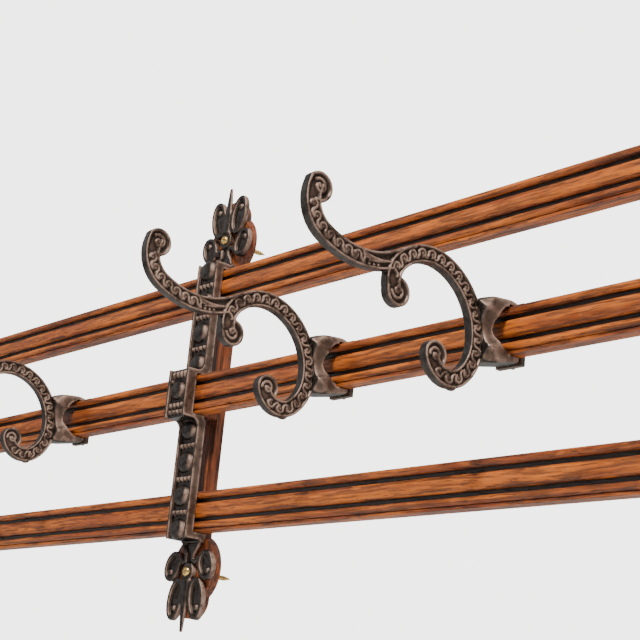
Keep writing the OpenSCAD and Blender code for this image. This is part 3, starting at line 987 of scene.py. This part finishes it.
# %% Cast skin and dust
skin_tree, skin_in, skin_out = group("Cast skin", [("Vector", VECTOR)],
                                     [("Mottle", NUMBER), ("Height", NUMBER)])
sand = noise(skin_tree, skin_in.outputs["Vector"], 1400.0, 3.0, 0.6)
lumps = noise(skin_tree, skin_in.outputs["Vector"], 260.0, 3.0)
pits = ramp(skin_tree, noise(skin_tree, skin_in.outputs["Vector"], 620.0, 1.0), 0.68, 0.76)
sandy = math_node(skin_tree, "ADD", math_node(skin_tree, "MULTIPLY", sand, 0.5), lumps)
skin_tree.links.new(ramp(skin_tree, lumps, 0.35, 0.65), skin_out.inputs["Mottle"])
skin_tree.links.new(math_node(skin_tree, "SUBTRACT", sandy, pits), skin_out.inputs["Height"])

dust_tree, dust_in, dust_out = group("Dust", [("Vector", VECTOR), ("Amount", NUMBER)],
                                     [("Mask", NUMBER)])
clouds = noise(dust_tree, dust_in.outputs["Vector"], 110.0, 5.0, 0.65)
specks = noise(dust_tree, dust_in.outputs["Vector"], 900.0, 2.0, 0.7)
patchy = math_node(dust_tree, "MULTIPLY", ramp(dust_tree, clouds, 0.30, 0.62),
                   ramp(dust_tree, specks, 0.25, 0.60, 0.55, 1.0))
dust_tree.links.new(math_node(dust_tree, "MULTIPLY", patchy, dust_in.outputs["Amount"]),
                    dust_out.inputs["Mask"])
print("skin and dust groups made")

# %% [markdown]
# The rails' oak was stained orange-brown and waxed. Its grooves are painted almost black as shade, and
# the reeds' crowns are rubbed lighter. The battens and packing blocks are a darker red-brown of the
# same wood, with its grain turned upright.

# %% Oak
# Painted shade: the near-black colour laid into the rails' grooves, where shadow falls.
GROOVE_SHADE = (0.010, 0.0045, 0.003, 1)
WOOD_DUST = (0.30, 0.20, 0.14, 1)


def new_material(name):
    made = bpy.data.materials.new(name)
    made.use_nodes = True
    tree = made.node_tree
    return made, tree, tree.nodes["Principled BSDF"]


def oak(name, light, mid, dark, grooves, turn=(0, 0, 0), shift=(0, 0, 0)):
    made, tree, surface = new_material(name)
    place = add(tree, "TexCoord").outputs["Object"]
    along = add(tree, "Mapping", {"Vector": place, "Rotation": turn, "Location": shift}).outputs[0]
    grain = use_group(tree, grain_tree, {"Vector": along, "Light": light, "Mid": mid, "Dark": dark})
    colour = grain.outputs["Color"]
    dust = use_group(tree, dust_tree, {"Vector": place, "Amount": 0.06})
    if grooves:
        # The grooves are painted near black as shade, the deeper parts darker; the reeds' crowns are
        # rubbed a little lighter.
        depth = add(tree, "Attribute", attribute_name="depth").outputs["Fac"]
        groove_shade_mask = ramp(tree, depth, 0.45, 0.85)
        crown = ramp(tree, depth, 0.0, 0.25, 0.14, 0.0)
        colour = mix(tree, crown, colour, light)
        colour = mix(tree, groove_shade_mask, colour, GROOVE_SHADE)
    colour = mix(tree, dust.outputs["Mask"], colour, WOOD_DUST)
    tree.links.new(colour, surface.inputs["Base Color"])
    rough = math_node(tree, "ADD", math_node(tree, "MULTIPLY", grain.outputs["Pores"], 0.25), 0.36)
    tree.links.new(math_node(tree, "ADD", rough, dust.outputs["Mask"]), surface.inputs["Roughness"])
    surface.inputs["Specular IOR Level"].default_value = 0.35
    bump = add(tree, "Bump", {"Height": grain.outputs["Height"], "Strength": 0.7, "Distance": 0.0008})
    tree.links.new(bump.outputs["Normal"], surface.inputs["Normal"])
    return made


rail_oak = oak("Waxed oak", light=(0.50, 0.125, 0.010, 1), mid=(0.20, 0.038, 0.005, 1),
               dark=(0.020, 0.0050, 0.0020, 1), grooves=True)
batten_oak = oak("Dark oak", light=(0.36, 0.090, 0.022, 1), mid=(0.17, 0.038, 0.012, 1),
                 dark=(0.026, 0.008, 0.004, 1), grooves=False, turn=(0, math.pi / 2, 0),
                 shift=(0.3, 0.1, 0.2))
print("oak", rail_oak.name, batten_oak.name)

# %% [markdown]
# The iron is dark and nearly polished round its edges, where hands and coats rub. Its broad faces
# are dry: a brown patina that is almost black in the hollows, with pinkish dust on the ridges. The
# relief and cheek values on each vertex steer between the three. The keepers have no such values, so
# they get even ones.

# %% Iron
PATINA = ((0.060, 0.038, 0.029, 1), (0.105, 0.068, 0.052, 1))
RUBBED = ((0.026, 0.022, 0.021, 1), (0.050, 0.042, 0.039, 1))
IRON_DUST = (0.25, 0.165, 0.130, 1)
GRIME = (0.020, 0.013, 0.010, 1)


def iron(name, flat_faces):
    made, tree, surface = new_material(name)
    place = add(tree, "TexCoord").outputs["Object"]
    skin = use_group(tree, skin_tree, {"Vector": place})
    if flat_faces:
        relief, cheek, amount = 0.5, 0.5, 0.35
    else:
        relief = add(tree, "Attribute", attribute_name="relief").outputs["Fac"]
        cheek = add(tree, "Attribute", attribute_name="cheek").outputs["Fac"]
        ridge = ramp(tree, relief, 0.50, 0.80)
        amount = math_node(tree, "MULTIPLY", math_node(tree, "ADD", ridge, 0.28), cheek)
    hollow = ramp(tree, relief, 0.50, 0.24)
    dust = use_group(tree, dust_tree, {"Vector": place, "Amount": amount})
    dry = mix(tree, skin.outputs["Mottle"], *PATINA)
    rubbed = mix(tree, skin.outputs["Mottle"], *RUBBED)
    colour = mix(tree, cheek, rubbed, dry)
    colour = mix(tree, dust.outputs["Mask"], colour, IRON_DUST)
    colour = mix(tree, math_node(tree, "MULTIPLY", hollow, 0.75), colour, GRIME)
    tree.links.new(colour, surface.inputs["Base Color"])
    smooth = ramp(tree, cheek, 0.0, 1.0, 0.25, 0.50)
    rough = math_node(tree, "ADD", smooth, math_node(tree, "MULTIPLY", dust.outputs["Mask"], 0.25))
    tree.links.new(rough, surface.inputs["Roughness"])
    metal = math_node(tree, "SUBTRACT", 0.80, math_node(tree, "MULTIPLY", dust.outputs["Mask"], 0.7))
    tree.links.new(metal, surface.inputs["Metallic"])
    bump = add(tree, "Bump", {"Height": skin.outputs["Height"], "Strength": 0.35, "Distance": 0.0004})
    tree.links.new(bump.outputs["Normal"], surface.inputs["Normal"])
    return made


cast_iron = iron("Cast iron", flat_faces=False)
plain_iron = iron("Plain iron", flat_faces=True)
print("iron", cast_iron.name, plain_iron.name)

# %% [markdown]
# The wall screws are old brass, bright on top and brown where polish never reaches. The wood screws
# behind are plain steel with a dull grey skin.

# %% Brass and steel


def screw_metal(name, bright, dull, rough_low, rough_high):
    made, tree, surface = new_material(name)
    place = add(tree, "TexCoord").outputs["Object"]
    patches = noise(tree, place, 420.0, 4.0, 0.6)
    scratches = noise(tree, stretched(tree, place, 300, 4000), 1.0, 2.0)
    tarnish = ramp(tree, patches, 0.38, 0.66)
    tree.links.new(mix(tree, tarnish, bright, dull), surface.inputs["Base Color"])
    tree.links.new(ramp(tree, patches, 0.30, 0.70, rough_low, rough_high), surface.inputs["Roughness"])
    surface.inputs["Metallic"].default_value = 1.0
    bump = add(tree, "Bump", {"Height": scratches, "Strength": 0.2, "Distance": 0.0001})
    tree.links.new(bump.outputs["Normal"], surface.inputs["Normal"])
    return made


brass = screw_metal("Old brass", (0.80, 0.56, 0.20, 1), (0.42, 0.26, 0.09, 1), 0.18, 0.40)
steel = screw_metal("Dull steel", (0.42, 0.42, 0.43, 1), (0.22, 0.21, 0.20, 1), 0.28, 0.50)


def wear(objects, material):
    for obj in objects:
        obj.data.materials.clear()
        obj.data.materials.append(material)


scene_objects = bpy.context.scene.objects
wear([o for o in scene_objects if o.name.endswith("_reeded")], rail_oak)
wear(battens + blocks, batten_oak)
wear([o for o in scene_objects if "_casting" in o.name], cast_iron)
wear(keepers, plain_iron)
wear([o for o in scene_objects if o.name.endswith("_brass")], brass)
wear([o for o in scene_objects if o.name.endswith("_steel")], steel)
print("finishes applied")

# %% [markdown]
# The camera stands to the right of the rack, a little below it, and looks up along the rails. A
# soft lamp high on the right gives the main light. Weaker ones fill in from the left, from above and
# from behind, and the pale world lifts the shadows. The floor is plain and pale. It glows for the
# camera and hardly lights the rack, so that the undersides of the rails stay dark.

# %% Camera, floor and light
FLOOR_Z = -0.6
camera_data = bpy.data.cameras.new("camera")
camera_data.lens = 81.56
camera_data.sensor_width = 36
camera = bpy.data.objects.new("camera", camera_data)
bpy.context.scene.collection.objects.link(camera)
camera.matrix_world = Matrix(((0.6553, 0.1581, 0.7386, 0.690), (0.7499, -0.2533, -0.6111, -0.6836),
                              (0.0905, 0.9544, -0.2846, -0.2656), (0, 0, 0, 1)))
bpy.context.scene.camera = camera


def lamp(name, place, aim, size, power, colour):
    data = bpy.data.lights.new(name, "AREA")
    data.size = size
    data.energy = power
    data.color = colour
    made = bpy.data.objects.new(name, data)
    made.location = place
    made.rotation_euler = (Vector(aim) - Vector(place)).to_track_quat("-Z", "Y").to_euler()
    bpy.context.scene.collection.objects.link(made)


lamp("key", (0.75, -1.15, 1.5), (-0.05, 0, 0), 0.36, 84, (1.0, 0.93, 0.84))
lamp("fill", (-1.4, -1.3, 0.6), (-0.1, 0, 0), 1.6, 5, (0.97, 0.98, 1.0))
lamp("top", (0.0, -0.2, 2.6), (0, 0, 0), 3.0, 16, (1.0, 1.0, 1.0))
lamp("behind", (0.3, 2.2, 1.1), (0, 0, 0), 1.8, 16, (1.0, 0.98, 0.95))
world = bpy.data.worlds.new("pale")
world.use_nodes = True
sky = world.node_tree
seen = add(sky, "LightPath").outputs["Is Camera Ray"]
sky.nodes["Background"].inputs["Color"].default_value = (0.95, 0.96, 0.94, 1)
sky.links.new(ramp(sky, seen, 0.0, 1.0, 0.36, 4.2), sky.nodes["Background"].inputs["Strength"])
bpy.context.scene.world = world

bpy.ops.mesh.primitive_plane_add(size=60, location=(0, 0, FLOOR_Z))
floor = settle(bpy.context.active_object)
floor.name = "floor"
floor_material, floor_tree, floor_surface = new_material("Pale floor")
floor_place = add(floor_tree, "TexCoord").outputs["Object"]
floor_tone = ramp(floor_tree, noise(floor_tree, floor_place, 6.0), 0.3, 0.7)
floor_tree.links.new(mix(floor_tree, floor_tone, (0.84, 0.84, 0.83, 1), (0.88, 0.88, 0.87, 1)),
                     floor_surface.inputs["Base Color"])
floor_surface.inputs["Roughness"].default_value = 0.8
floor_surface.inputs["Emission Color"].default_value = (0.85, 0.85, 0.84, 1)
floor_seen = add(floor_tree, "LightPath").outputs["Is Camera Ray"]
floor_tree.links.new(ramp(floor_tree, floor_seen, 0.0, 1.0, 0.04, 0.30),
                     floor_surface.inputs["Emission Strength"])
wear([floor], floor_material)
print("camera, lamps and floor placed")
